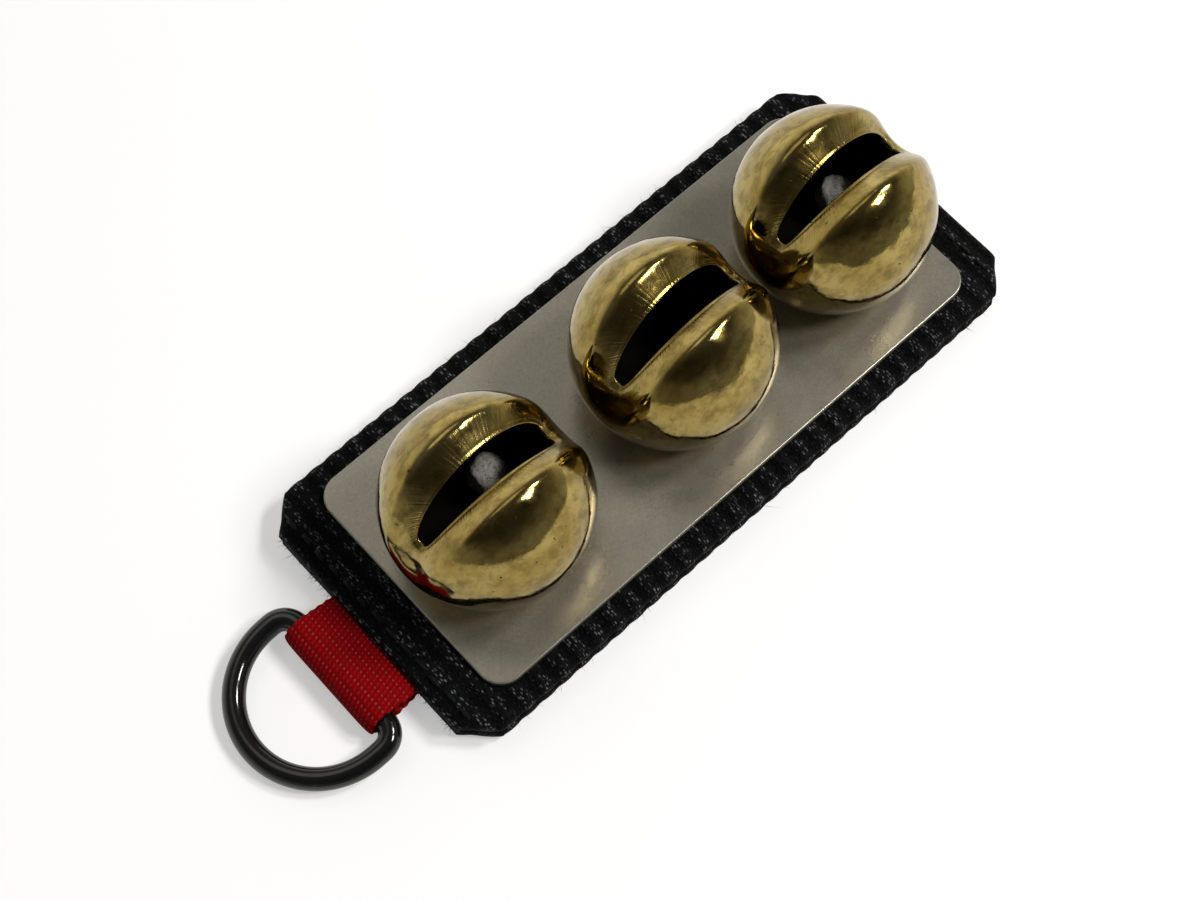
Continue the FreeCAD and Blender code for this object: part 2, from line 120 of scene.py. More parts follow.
# Stage.
FLOOR_REACH = 2.5
FLOOR_LIFT = 0.42
SKYLIGHT_AIM = (0.08, 0.5, 0.862)
ROOM_COLOUR = (1.0, 0.97, 0.92, 1)
LAMP_COLOUR = (1.0, 0.97, 0.93)
LAMP_SIZE = 0.17


# ---------------------------------------------------------------- making meshes


def grid_faces(rows, columns, close_rows=False, close_columns=False):
    """Four-sided faces between neighbours on a grid, whose rows or columns may close on themselves."""
    index = np.arange(rows * columns).reshape(rows, columns)
    if close_rows:
        index = np.vstack([index, index[:1]])
    if close_columns:
        index = np.hstack([index, index[:, :1]])
    corners = [index[:-1, :-1], index[:-1, 1:], index[1:, 1:], index[1:, :-1]]
    return np.stack(corners, axis=-1).reshape(-1, 4)


def make_piece(name, body, finishes, points, faces, uv=None, finish_index=None, stands_for=()):
    """A closed mesh from points in millimetres: doubles merged, faces outward, smooth, riding on a body."""
    mesh = bpy.data.meshes.new(name)
    mesh.from_pydata((points * MM).tolist(), [], faces.tolist())
    if finish_index is not None:
        mesh.polygons.foreach_set("material_index", finish_index.astype(np.int32))
    if uv is not None:
        layer = mesh.uv_layers.new(name="Along")
        layer.data.foreach_set("uv", uv[faces.ravel()].astype(np.float32).ravel())
    shell = bmesh.new()
    shell.from_mesh(mesh)
    bmesh.ops.remove_doubles(shell, verts=shell.verts, dist=MERGE_DISTANCE)
    bmesh.ops.dissolve_degenerate(shell, edges=shell.edges, dist=MERGE_DISTANCE / 10)
    bmesh.ops.recalc_face_normals(shell, faces=shell.faces)
    shell.to_mesh(mesh)
    shell.free()
    mesh.polygons.foreach_set("use_smooth", np.ones(len(mesh.polygons), bool))
    for finish in finishes:
        mesh.materials.append(finish)
    piece = bpy.data.objects.new(name, mesh)
    bpy.context.scene.collection.objects.link(piece)
    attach(piece, body)
    if stands_for:
        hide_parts(*stands_for)
    return piece


def ripple(points, lengths, seed):
    """Smooth unevenness from -1 to 1: the mean of sines of each length, each along its own direction."""
    draw = np.random.default_rng(seed)
    total = np.zeros(points.shape[:-1])
    for length in lengths:
        direction = draw.normal(size=3)
        direction /= np.linalg.norm(direction)
        total += np.sin(points @ direction * FULL_TURN / length + draw.uniform(0, FULL_TURN))
    return total / len(lengths)


def corners_of(node):
    """Low and high corner of a CAD node's box, in millimetres."""
    low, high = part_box(node)
    return np.array(low) / MM, np.array(high) / MM


def middle_of(node):
    """Centre of a CAD node's box, in millimetres."""
    low, high = corners_of(node)
    return (low + high) / 2


def even_steps(line, count):
    """A two-column line as `count` points, even distances apart along it, and those distances."""
    travelled = np.concatenate([[0], np.cumsum(np.linalg.norm(np.diff(line, axis=0), axis=1))])
    even = np.linspace(0, travelled[-1], count)
    return np.stack([np.interp(even, travelled, line[:, k]) for k in (0, 1)], axis=-1), even


def smoothed(line, reach):
    """Each point of a two-column line as the mean of its `reach` neighbours, weighted by a raised
    cosine. The line comes in longer by half the reach at both ends."""
    weights = np.hanning(reach) / np.hanning(reach).sum()
    return np.stack([np.convolve(line[:, k], weights, "valid") for k in (0, 1)], axis=-1)


# ---------------------------------------------------------------- finishes


class Mixture:
    """A node tree being put together: every method adds one step and gives back its output."""

    def __init__(self, tree):
        self.tree = tree

    def add(self, kind, sockets=None, output=0, **settings):
        """One node: settings are its own choices, sockets its inputs, as numbers or linked outputs."""
        node = self.tree.nodes.new("ShaderNode" + kind)
        for key, choice in settings.items():
            setattr(node, key, choice)
        for key, given in (sockets or {}).items():
            self.give(node.inputs[key], given)
        return node.outputs[output]

    def give(self, socket, given):
        """Link an output to an input, or set the input's own value."""
        if isinstance(given, bpy.types.NodeSocket):
            self.tree.links.new(given, socket)
        else:
            socket.default_value = given

    def part(self, given, axis):
        """One of the three numbers of a vector or colour."""
        return self.add("SeparateXYZ", {0: given}, axis)

    def span(self, given, low, high, to_low=0.0, to_high=1.0, **settings):
        """Stretch the range low..high of a value onto another range, cut off at its ends."""
        sockets = {0: given, 1: low, 2: high, 3: to_low, 4: to_high}
        return self.add("MapRange", sockets, **settings)

    def reckon(self, kind, first, second=0.0):
        """Arithmetic on two values."""
        return self.add("Math", {0: first, 1: second}, operation=kind)

    def wave(self, kind, given, pitch):
        """Sine or cosine of a value that comes round once every `pitch`."""
        return self.reckon(kind, self.reckon("MULTIPLY", given, FULL_TURN / pitch))


class Finish(Mixture):
    """A material being mixed, with its patterns placed by Object coordinates, which are in metres.
    Its colours are linear red, green and blue."""

    def __init__(self, name):
        self.material = bpy.data.materials.new(name)
        self.material.use_nodes = True
        super().__init__(self.material.node_tree)
        self.surface = self.tree.nodes["Principled BSDF"]
        self.place = self.add("TexCoord", output="Object")

    def noise(self, size, detail=2.0, stretch=(1, 1, 1), place=None, roughness=0.5):
        """Cloudy pattern whose patches are about `size` millimetres, drawn out along the axes."""
        spread = self.add("Mapping", {0: place or self.place, "Scale": stretch})
        sockets = {"Vector": spread, "Scale": 1 / (size * MM), "Detail": detail, "Roughness": roughness}
        return self.add("TexNoise", sockets)

    def cells(self, size, stretch=(1, 1, 1), output="Distance"):
        """Irregular cells about `size` millimetres across: how far from their middles, or a colour each."""
        spread = self.add("Mapping", {0: self.place, "Scale": stretch})
        sockets = {"Vector": spread, "Scale": 1 / (size * MM)}
        return self.add("TexVoronoi", sockets, output)

    def blend(self, share, first, second):
        """Colour that goes from the first to the second as the share goes from 0 to 1."""
        tones = [tone if isinstance(tone, bpy.types.NodeSocket) else (*tone, 1) for tone in (first, second)]
        sockets = {0: share, MIX_FIRST_COLOUR: tones[0], MIX_SECOND_COLOUR: tones[1]}
        return self.add("Mix", sockets, MIX_COLOUR_OUTPUT, data_type="RGBA")

    def bump(self, height, depth, under=None):
        """Relief of a pattern, `depth` millimetres from its 0 to its 1, over another relief."""
        sockets = {"Height": height, "Distance": depth * MM, "Strength": 1.0}
        if under is not None:
            sockets["Normal"] = under
        return self.add("Bump", sockets)

    def done(self, **sockets):
        """Set the shader's inputs, as numbers or linked outputs, and give back the material."""
        for key, given in sockets.items():
            self.give(self.surface.inputs[key.replace("_", " ")], given)
        return self.material


def polished_brass():
    """Old brass, polished but uneven: dull film in patches, dark specks, streaks across the lips."""
    deep_gold, pale_gold = (0.27, 0.195, 0.050), (0.37, 0.288, 0.098)
    brown_film, dark_smear = (0.16, 0.11, 0.028), (0.12, 0.084, 0.022)
    speck_brown, foot_brown = (0.06, 0.045, 0.02), (0.10, 0.07, 0.026)
    shoulder, foot = 27 * MM, 12 * MM
    whole_map, streak_shape = 1.0 / MM, (260.0, 3.0, 1.0)
    brass = Finish("polished_brass")
    along = brass.add("TexCoord", output="UV")
    clouds = brass.noise(7.0, 3)
    film = brass.noise(2.2, 4, roughness=0.6)
    specks = brass.span(brass.noise(0.9, 3), 0.68, 0.75)
    tone = brass.blend(brass.span(clouds, 0.35, 0.65), deep_gold, pale_gold)
    tone = brass.blend(brass.span(film, 0.46, 0.66, 0, 0.65), tone, brown_film)
    smear = brass.noise(3.4, 5, (1.0, 2.2, 1.0), roughness=0.65)
    tone = brass.blend(brass.span(smear, 0.5, 0.66, 0, 0.6), tone, dark_smear)
    tone = brass.blend(specks, tone, speck_brown)
    near_lip = brass.span(brass.part(along, ALONG_Y), 0.16, 0.02)
    # Darker brown towards the foot of the bell, in cloudy patches.
    lowness = brass.span(brass.part(brass.place, ALONG_Z), shoulder, foot)
    lower_darkening = brass.reckon("MULTIPLY", lowness, brass.span(clouds, 0.38, 0.6))
    tone = brass.blend(brass.span(lower_darkening, 0, 1, 0, 0.6), tone, foot_brown)
    streaks = brass.noise(whole_map, 2, streak_shape, along)
    streaks = brass.reckon("MULTIPLY", streaks, near_lip)
    rough = brass.reckon("ADD", brass.span(film, 0.3, 0.7, 0.06, 0.16), brass.span(specks, 0, 1, 0, 0.3))
    rough = brass.reckon("ADD", rough, brass.span(near_lip, 0, 1, 0, 0.08))
    relief = brass.bump(brass.noise(5.0, 1), 0.2)
    relief = brass.bump(brass.noise(1.5, 3), 0.03, relief)
    relief = brass.bump(streaks, 0.06, relief)
    return brass.done(Base_Color=tone, Metallic=1.0, Roughness=rough, Normal=relief)


def dark_inside_painted_shade():
    """The inside of a bell: dark unpolished metal, painted almost black as painted shade."""
    painted_shade_black, painted_shade_brown = (0.002, 0.002, 0.0015), (0.007, 0.006, 0.004)
    inside = Finish("dark_inside_painted_shade")
    clouds = inside.noise(2.5, 4)
    # Painted shade: an almost black tone with specular nearly off, over the metal's own dark colour.
    tone = inside.blend(clouds, painted_shade_black, painted_shade_brown)
    relief = inside.bump(clouds, 0.1)
    rough = inside.span(clouds, 0, 1, 0.7, 0.95)
    return inside.done(Base_Color=tone, Roughness=rough, Normal=relief, Specular_IOR_Level=0.04)


def satin_plate():
    """Dull rolled metal: faint mottling, fine scratches in two directions and a few long ones."""
    warm_grey, pale_grey = (0.29, 0.275, 0.222), (0.37, 0.348, 0.285)
    grain_grey, scratch_grey = (0.25, 0.235, 0.19), (0.52, 0.50, 0.44)
    scratch_bearing = 0.9
    plate = Finish("satin_plate")
    clouds = plate.noise(9.0, 5, roughness=0.6)
    grain = plate.noise(0.35, 3)
    drawn = plate.noise(0.5, 3, (0.05, 1.0, 1.0))
    turned = plate.add("Mapping", {0: plate.place, "Rotation": (0, 0, scratch_bearing)})
    scratches = plate.span(plate.noise(0.6, 2, (0.03, 1.0, 1.0), turned), 0.70, 0.73)
    tone = plate.blend(plate.span(clouds, 0.3, 0.7), warm_grey, pale_grey)
    tone = plate.blend(plate.span(grain, 0.35, 0.7, 0, 0.7), tone, grain_grey)
    tone = plate.blend(plate.reckon("MULTIPLY", scratches, 0.3), tone, scratch_grey)
    rough = plate.span(clouds, 0.3, 0.7, 0.25, 0.33)
    relief = plate.bump(drawn, 0.006)
    relief = plate.bump(grain, 0.012, relief)
    relief = plate.bump(scratches, 0.01, relief)
    return plate.done(Base_Color=tone, Metallic=0.62, Roughness=rough, Normal=relief)


def black_webbing():
    """Heavy black woven webbing: bundles of filament, painted glints on some bundle crowns along the rib
    crests, painted shade in the valleys between the ribs, and a dusty bloom.
    """
    black, soft_black, dust_black = (0.0008, 0.0008, 0.001), (0.003, 0.0034, 0.0037), (0.005, 0.005, 0.005)
    painted_valley_shade_black, painted_glint_grey = (0.0006, 0.0006, 0.0006), (0.16, 0.18, 0.186)
    bundle_size, bundle_stretch = 0.62, (1.5, 0.75, 1.0)
    cloth = Finish("black_webbing")
    bundles = cloth.cells(bundle_size, bundle_stretch)
    pick = cloth.part(cloth.cells(bundle_size, bundle_stretch, "Color"), ALONG_X)
    filament = cloth.noise(0.22, 3, (0.35, 1.0, 1.0))
    ribs = cloth.wave("COSINE", cloth.part(cloth.place, ALONG_X), RIB_PITCH * MM)
    crest = cloth.span(ribs, -0.5, 0.6)
    crown = cloth.span(bundles, 0.5, 0.2)
    # Painted glints: pale grey on some bundle crowns, strongest on the rib crests, standing in for light
    # caught by the fibres.
    painted_glint = cloth.reckon("MULTIPLY", cloth.span(pick, 0.35, 0.6), crown)
    painted_glint = cloth.reckon("MULTIPLY", painted_glint, cloth.span(filament, 0.38, 0.52))
    painted_glint = cloth.reckon("MULTIPLY", painted_glint, cloth.span(crest, 0, 1, 0.08, 1.0))
    dust = cloth.span(cloth.noise(5.0, 5), 0.5, 0.8, 0, 0.3)
    tone = cloth.blend(filament, black, soft_black)
    tone = cloth.blend(dust, tone, dust_black)
    # Painted shade: darker in the valleys between the ribs.
    tone = cloth.blend(cloth.span(crest, 0.4, 0.0, 0, 0.7), tone, painted_valley_shade_black)
    tone = cloth.blend(painted_glint, tone, painted_glint_grey)
    relief = cloth.bump(crown, 0.22)
    relief = cloth.bump(filament, 0.05, relief)
    rough = cloth.span(crest, 0, 1, 0.8, 0.62)
    return cloth.done(Base_Color=tone, Roughness=rough, Normal=relief, Specular_IOR_Level=0.08)


def red_tape():
    """Red woven tape: ribs parallel to the bar, each a row of slanting stitches of yarn, with painted
    highlight on the raised yarn and painted shade in the grooves between the ribs.
    """
    deep_red, full_red, painted_highlight_red = (0.16, 0.0002, 0.0008), (0.25, 0.0003, 0.0014), (0.55, 0.008, 0.016)
    painted_groove_shade_red, dash_pink, worn_red = (0.06, 0.0006, 0.0012), (0.48, 0.03, 0.04), (0.15, 0.002, 0.003)
    tape = Finish("red_tape")
    along = tape.add("TexCoord", output="UV")
    across, length = tape.part(along, ALONG_X), tape.part(along, ALONG_Y)
    rib = tape.span(tape.wave("SINE", length, TAB_RIB_PITCH), -1, 1)
    slant = tape.reckon("ADD", across, tape.reckon("MULTIPLY", length, TAB_SLANT))
    yarn = tape.span(tape.wave("SINE", slant, TAB_YARN_PITCH), -1, 1)
    fuzz = tape.noise(0.25, 4)
    wear = tape.noise(4.0, 4)
    lift = tape.reckon("MULTIPLY", yarn, rib)
    tone = tape.blend(tape.span(fuzz, 0.3, 0.7), deep_red, full_red)
    # Painted highlight: brighter red where the yarn and the rib both rise.
    tone = tape.blend(tape.span(lift, 0.5, 1.0, 0, 0.55), tone, painted_highlight_red)
    # Painted shade: darker red in the grooves between the ribs.
    tone = tape.blend(tape.span(rib, 0.35, 0.0, 0, 0.4), tone, painted_groove_shade_red)
    dash = tape.reckon("MULTIPLY", tape.span(rib, 0.2, 0.02), tape.span(yarn, 0.45, 0.7))
    tone = tape.blend(tape.span(dash, 0, 1, 0, 0.75), tone, dash_pink)
    tone = tape.blend(tape.span(wear, 0.45, 0.8, 0, 0.4), tone, worn_red)
    relief = tape.bump(lift, 0.12)
    relief = tape.bump(fuzz, 0.04, relief)
    return tape.done(Base_Color=tone, Roughness=0.75, Normal=relief, Specular_IOR_Level=0.05)


def enamelled_wire():
    """Glossy black enamel, a little wavy, with rubbed places."""
    black, soft_black, rubbed_grey = (0.003, 0.003, 0.0035), (0.007, 0.007, 0.007), (0.03, 0.029, 0.027)
    wire = Finish("enamelled_wire")
    clouds = wire.noise(5.0, 3)
    rubbed = wire.span(wire.noise(1.2, 4), 0.66, 0.8)
    tone = wire.blend(clouds, black, soft_black)
    tone = wire.blend(rubbed, tone, rubbed_grey)
    rough = wire.reckon("ADD", wire.span(clouds, 0.3, 0.7, 0.07, 0.13), wire.span(rubbed, 0, 1, 0, 0.15))
    relief = wire.bump(wire.noise(2.0, 2), 0.02)
    return wire.done(Base_Color=tone, Roughness=rough, Normal=relief)


def cast_pellet():
    """Dull grey cast metal with a pitted skin."""
    grey, pale_grey, pit_grey = (0.60, 0.58, 0.53), (0.78, 0.76, 0.70), (0.13, 0.12, 0.10)
    cast = Finish("cast_pellet")
    clouds = cast.noise(1.4, 4)
    pits = cast.span(cast.noise(0.5, 3), 0.3, 0.45)
    tone = cast.blend(clouds, grey, pale_grey)
    tone = cast.blend(cast.span(pits, 1, 0, 0, 0.6), tone, pit_grey)
    relief = cast.bump(clouds, 0.25)
    relief = cast.bump(pits, 0.06, relief)
    return cast.done(Base_Color=tone, Roughness=0.55, Metallic=0.1, Normal=relief)


def black_thread():
    """Black twisted sewing thread with a slight shine."""
    black, soft_black = (0.001, 0.001, 0.0012), (0.005, 0.0055, 0.006)
    thread = Finish("black_thread")
    twist = thread.noise(0.16, 2, (1.0, 0.4, 1.0))
    tone = thread.blend(twist, black, soft_black)
    rough = thread.span(twist, 0, 1, 0.5, 0.65)
    relief = thread.bump(twist, 0.05)
    return thread.done(Base_Color=tone, Roughness=rough, Normal=relief, Specular_IOR_Level=0.15)


def turned_steel():
    """Dull bright metal of the rivets and washers, lightly marked."""
    grey, pale_grey = (0.38, 0.37, 0.34), (0.52, 0.50, 0.46)
    steel = Finish("turned_steel")
    clouds = steel.noise(1.2, 4)
    marks = steel.noise(0.3, 2, (0.1, 1.0, 1.0))
    tone = steel.blend(clouds, grey, pale_grey)
    relief = steel.bump(marks, 0.01)
    rough = steel.span(clouds, 0.3, 0.7, 0.28, 0.45)
    return steel.done(Base_Color=tone, Metallic=1.0, Roughness=rough, Normal=relief)


# ---------------------------------------------------------------- bells


def slot_edge(around):
    """Turn about the bell's cross axis and sideways distance of the slot's edge: a long oval whose
    width grows towards its far end, so the ring end is narrow and the far end round."""
    turn = SLOT_TURN * np.cos(around)
    swell = (1 + SLOT_SWELL * np.cos(around)) / SLOT_EVEN_OUT
    bluntness = SLOT_BLUNTNESS - SLOT_BLUNTNESS_SHIFT * np.cos(around)
    side = SLOT_HALF_WIDTH * np.sign(np.sin(around)) * np.abs(np.sin(around)) ** bluntness * swell
    return turn, side + SLOT_EASE * np.sin(around)


def unit_direction(turn, side):
    """Direction at an angle from straight up about the cross axis, at a share `side` of the radius."""
    level = np.sqrt(1 - side**2)
    return np.stack([np.sin(turn) * level, side, np.cos(turn) * level], axis=-1)


def sweep_between(first, last, share):
    """Directions along the great circle from the first to the last."""
    angle = np.arccos(np.clip((first * last).sum(-1), -1, 1))[..., None]
    return (np.sin((1 - share) * angle) * first + np.sin(share * angle) * last) / np.sin(angle)


def domed_wall(direction, inset, lip):
    """Wall of the domed half: the distance from the cross axis is a ball's, less a valley's depth.
    The valley is a parabola across the slot, deepest on top and gone at the seam, and its crests are
    rounded as a hyperbola rounds the bend between two lines. The lip turns a little further down, and
    the valley fades in as a smooth step where it is shallow."""
    radius = BELL_RADIUS - inset
    side = direction[..., 1] * radius
    turn = np.arctan2(direction[..., 0], direction[..., 2])
    depth = CLEFT_DEPTH * np.cos(np.clip(np.abs(turn) / CLEFT_FADE, 0, 1) * HALF_TURN / 2)
    ball = np.sqrt(radius**2 - side**2)
    over = depth - CLEFT_CURVE * side**2 - (radius - ball)
    dip = (over + np.sqrt(over**2 + CREST_BLEND**2)) / 2
    present = np.clip(depth / CLEFT_SHALLOW, 0, 1)
    away = ball - dip * present**2 * (3 - 2 * present) - LIP_DROP * lip
    return np.stack([np.sin(turn) * away, side, np.cos(turn) * away], axis=-1)


def turned_about_bell(points, number):
    """Turn a bell's points about its upright axis to its slot's bearing, and put them in place."""
    turn = np.array(Matrix.Rotation(math.radians(SLOT_BEARINGS[number]), 3, "Z"))
    node = f"bell_{number}_lower_shell"
    foot, _ = corners_of(node)
    centre = middle_of(node)
    centre[2] = foot[2] + CENTRE_ABOVE_FOOT
    return points @ turn.T + centre


def domed_half(number, brass, inside):
    """Upper shell: a grid that goes round the slot and from its edge to the seam, outside and in,
    closed by a half-round lip at the slot and a flat edge at the seam. The rows crowd at the slot."""
    columns, rows, rim_rows, crowding = 240, 64, 5, 1.15
    dents_seed, dents_stop, bulge_aim = 10 + number, 6, 0.86
    around = np.arange(columns) * FULL_TURN / columns
    turn, side = slot_edge(around)
    share = (np.linspace(0, 1, rows) ** crowding)[:, None, None]
    walls = []
    for inset in (0.0, BELL_WALL):
        radius = BELL_RADIUS - inset
        edge = unit_direction(turn, side / radius)
        seam_level = math.sqrt(1 - (SEAM_DROP / radius) ** 2)
        drop = np.full(columns, -SEAM_DROP / radius)
        seam = np.stack([np.cos(around) * seam_level, np.sin(around) * seam_level, drop], axis=-1)
        direction = sweep_between(edge[None], seam[None], share)
        lip = np.exp(-share[..., 0] * LIP_FALL) * np.ones(columns)
        walls.append(domed_wall(direction, inset, lip))
    outer, inner = walls
    hollow = DENT_DEPTH * (1 + ripple(outer, DENT_LENGTHS, dents_seed))
    fade = np.clip((1 - share) * dents_stop, 0, 1)
    outer = outer * (1 - hollow[..., None] * fade / BELL_RADIUS)
    step = (np.arange(1, rim_rows + 1) / (rim_rows + 1))[:, None, None]
    to_middle = unit_direction(turn * bulge_aim, side * 0) * BELL_RADIUS * bulge_aim - outer[0]
    to_middle /= np.linalg.norm(to_middle, axis=-1, keepdims=True)
    rim = inner[0] + (outer[0] - inner[0]) * step + LIP_BULGE * np.sin(HALF_TURN * step) * to_middle
    points = np.concatenate([outer, inner[::-1], rim])
    total_rows = len(points)
    down = np.concatenate([share[:, 0, 0], share[::-1, 0, 0], np.zeros(rim_rows)])
    uv = np.stack(np.broadcast_arrays(around[None] / FULL_TURN, down[:, None]), axis=-1)
    faces = grid_faces(total_rows, columns, close_rows=True, close_columns=True)
    row_of_face = np.repeat(np.arange(total_rows), columns)
    inner_face = ((row_of_face >= rows) & (row_of_face < 2 * rows - 1)).astype(int)
    return make_piece(
        f"bell_{number}_dome", "pad", [brass, inside],
        turned_about_bell(points.reshape(-1, 3), number), faces, uv.reshape(-1, 2), inner_face,
        [f"bell_{number}_upper_shell"],
    )


def cup_half(number, brass, inside):
    """Lower shell: a profile turned about the upright axis. It follows the ball down from the seam,
    rounds into a flat foot along a quadratic curve, turns in at the rivet's hole and comes back up a
    wall's thickness inside."""
    segments, arc_rows, bend_rows, bend_start, hole_edge = 180, 26, 7, 3, 0.2
    foot_angle = math.asin(CENTRE_ABOVE_FOOT / BELL_RADIUS)
    down = np.linspace(math.asin(SEAM_DROP / BELL_RADIUS), foot_angle, arc_rows)
    arc = np.stack([np.cos(down), -np.sin(down)], axis=-1) * BELL_RADIUS
    corner = arc[-1]
    bend = np.linspace(0, 1, bend_rows)[:, None]
    first, last = arc[-bend_start], corner - [FOOT_BEND, 0]
    rounded = (1 - bend) ** 2 * first + 2 * bend * (1 - bend) * corner + bend**2 * last
    hole = [[RIVET_HOLE + hole_edge, corner[1]], [RIVET_HOLE, corner[1]]]
    outer = np.concatenate([arc[:-bend_start], rounded, hole])
    inner_radius = BELL_RADIUS - BELL_WALL
    inner_foot = corner[1] + BELL_WALL
    inner_foot_angle = math.asin(-inner_foot / inner_radius)
    rise = np.linspace(inner_foot_angle, math.asin(SEAM_DROP / inner_radius), arc_rows)
    inner = np.stack([np.cos(rise), -np.sin(rise)], axis=-1) * inner_radius
    profile = np.concatenate([outer, [[RIVET_HOLE, inner_foot]], inner])
    profile[0, 0] -= SEAM_BEVEL
    around = np.arange(segments) * FULL_TURN / segments
    ring = np.stack([np.cos(around), np.sin(around)], axis=-1)
    level = np.broadcast_to(profile[:, None, 1:], (len(profile), segments, 1))
    points = np.concatenate([profile[:, None, :1] * ring[None], level], axis=-1)
    faces = grid_faces(len(profile), segments, close_rows=True, close_columns=True)
    row_of_face = np.repeat(np.arange(len(profile)), segments)
    inner_face = (row_of_face >= len(outer)).astype(int)
    uv = np.ones((len(profile) * segments, 2))
    return make_piece(
        f"bell_{number}_cup", "pad", [brass, inside],
        turned_about_bell(points.reshape(-1, 3), number), faces, uv, inner_face,
        [f"bell_{number}_lower_shell"],
    )


def pellet(number, cast):
    """A ball of latitude and longitude rows, flattened and dented by slow ripples."""
    rows, columns = 41, 80
    mean_size, dent_depth, pit_depth = 0.955, 0.05, 0.012
    dent_lengths, pit_lengths = (2.1, 2.6, 3.4, 4.6), (0.9, 1.1, 1.3)
    dents_seed, pits_seed = 30 + number, 40 + number
    node = f"bell_{number}_clapper"
    low, high = corners_of(node)
    radius = (high[2] - low[2]) / 2
    down = np.linspace(0, HALF_TURN, rows)[:, None]
    around = (np.arange(columns) * FULL_TURN / columns)[None]
    eastward, northward = np.sin(down) * np.cos(around), np.sin(down) * np.sin(around)
    direction = np.stack(np.broadcast_arrays(eastward, northward, np.cos(down)), axis=-1)
    dents = ripple(direction * radius, dent_lengths, dents_seed)
    pits = ripple(direction * radius, pit_lengths, pits_seed)
    size = np.minimum(radius * (mean_size + dent_depth * dents + pit_depth * pits), radius)
    size[0] = size[0].mean()
    size[-1] = size[-1].mean()
    points = direction * size[..., None] + middle_of(node)
    faces = grid_faces(rows, columns, close_columns=True)
    return make_piece(
        f"bell_{number}_pellet", f"pellet_{number}", [cast],
        points.reshape(-1, 3), faces, stands_for=[node],
    )


# ---------------------------------------------------------------- pad


def stations(low, high, rim, count):
    """Coordinates from low to high: even steps inside, and within the rim at both ends the crowding
    steps of a quarter circle."""
    bend = (1 - np.cos(np.linspace(0, HALF_TURN / 2, EDGE_STEPS + 1))) * rim
    middle = low + rim + (high - low - 2 * rim) * np.linspace(0, 1, count + 1)
    return np.concatenate([low + bend[:-1], middle, high - bend[:-1][::-1]])


def webbing_layer(name, node, cloth, outward):
    """One layer of webbing. Half its width is the pad's, less the corner cuts and the scallops of the
    ribs. Its thickness is a half circle at the edge and even inside, less the dips between the ribs on
    the side that shows, and less the tape's pocket on the other. The ribs wander a little."""
    rows, columns, wander_seed = 380, 92, 50 + outward
    low, high = corners_of(node)
    half_thick = (high[2] - low[2]) / 2
    middle = (high[2] + low[2]) / 2
    x = stations(low[0], high[0], half_thick, rows)[:, None]
    to_end = np.minimum(x - low[0], high[0] - x)
    rib_wave = 0.5 + 0.5 * np.cos(FULL_TURN * x / RIB_PITCH)
    valley = (1 - rib_wave) ** RIB_SHARPNESS
    cut = np.clip(CORNER_CUT - to_end, 0, None)
    half_width = high[1] - cut - SCALLOP * valley - EDGE_MARGIN
    spread = stations(-1.0, 1.0, half_thick / high[1], columns)[None]
    y = spread * half_width
    from_side = half_width - np.abs(y)
    wander = ripple(np.stack(np.broadcast_arrays(x, y, 0 * x), axis=-1), WANDER_LENGTHS, wander_seed)
    round_side = np.sqrt(1 - (1 - np.clip(from_side / half_thick, 0, 1)) ** 2)
    round_end = np.sqrt(1 - (1 - np.clip(to_end / half_thick, 0, 1)) ** 2)
    bundle = 0.5 + 0.5 * np.cos(FULL_TURN * y / BUNDLE_PITCH + HALF_TURN * np.round(x / RIB_PITCH))
    shown = half_thick - RIB_DEPTH * valley - BUNDLE_DEPTH * bundle - SURFACE_WANDER * (1 + wander)
    beside_tape = np.abs(y - BAR[1]) < TAB_HALF_WIDTH + POCKET_MARGIN
    over_tape = x < BAR[0] + TAB_INNER_END + POCKET_MARGIN
    hidden = half_thick - TAB_PLY * (beside_tape & over_tape)
    top, bottom = (shown, hidden) if outward > 0 else (hidden, shown)
    surfaces = [
        np.stack(np.broadcast_arrays(x + RIB_WANDER * wander, y, middle + side * round_side * round_end), -1)
        for side in (top, -bottom)
    ]
    faces = grid_faces(x.size, spread.size)
    faces = np.concatenate([faces, faces[:, ::-1] + x.size * spread.size])
    points = np.concatenate([surface.reshape(-1, 3) for surface in surfaces])
    return make_piece(name, "pad", [cloth], points, faces, stands_for=[node])


def stitches(name, node, thread, level, stands_for):
    """A row of stitches across the pad. Each is a short round thread that rises from the cloth and
    dips back, its height half a sine wave and its ends drawn to a point. They sway about their row."""
    rows, columns, end_sharpness, overlap, sink = 13, 10, 6, 0.3, 0.3
    strand_depth, strand_twists, sway_width, sway_step = 0.16, 2.2, 0.12, 2.4
    low, high = corners_of(node)
    count = round((high[1] - low[1] - STITCH_LENGTH) / STITCH_PITCH) + 1
    along = np.linspace(0, 1, rows)[:, None]
    around = (np.arange(columns) * FULL_TURN / columns)[None]
    thick = THREAD_RADIUS * np.sqrt(np.clip(1 - (2 * along - 1) ** end_sharpness, 0, 1))
    thick = thick * (1 + strand_depth * np.cos(2 * around + FULL_TURN * along * strand_twists))
    shape = np.stack(np.broadcast_arrays(
        thick * np.cos(around),
        (along - 0.5) * (STITCH_LENGTH + overlap),
        thick * np.sin(around) + sink * (np.sin(HALF_TURN * along) - 1),
    ), axis=-1).reshape(-1, 3)
    middle = (low + high) / 2
    order = np.arange(count)
    across = middle[0] + sway_width * np.sin(order * sway_step)
    starts = middle[1] + (order - (count - 1) / 2) * STITCH_PITCH
    places = np.stack([across, starts, np.full(count, level)], axis=-1)
    upright = 1 if level > LAYER_THICKNESS else -1
    points = (shape[None] * [1, 1, upright] + places[:, None]).reshape(-1, 3)
    face = grid_faces(rows, columns, close_columns=True)
    faces = np.concatenate([face + k * len(shape) for k in range(count)])
    return make_piece(name, "pad", [thread], points, faces, stands_for=stands_for)


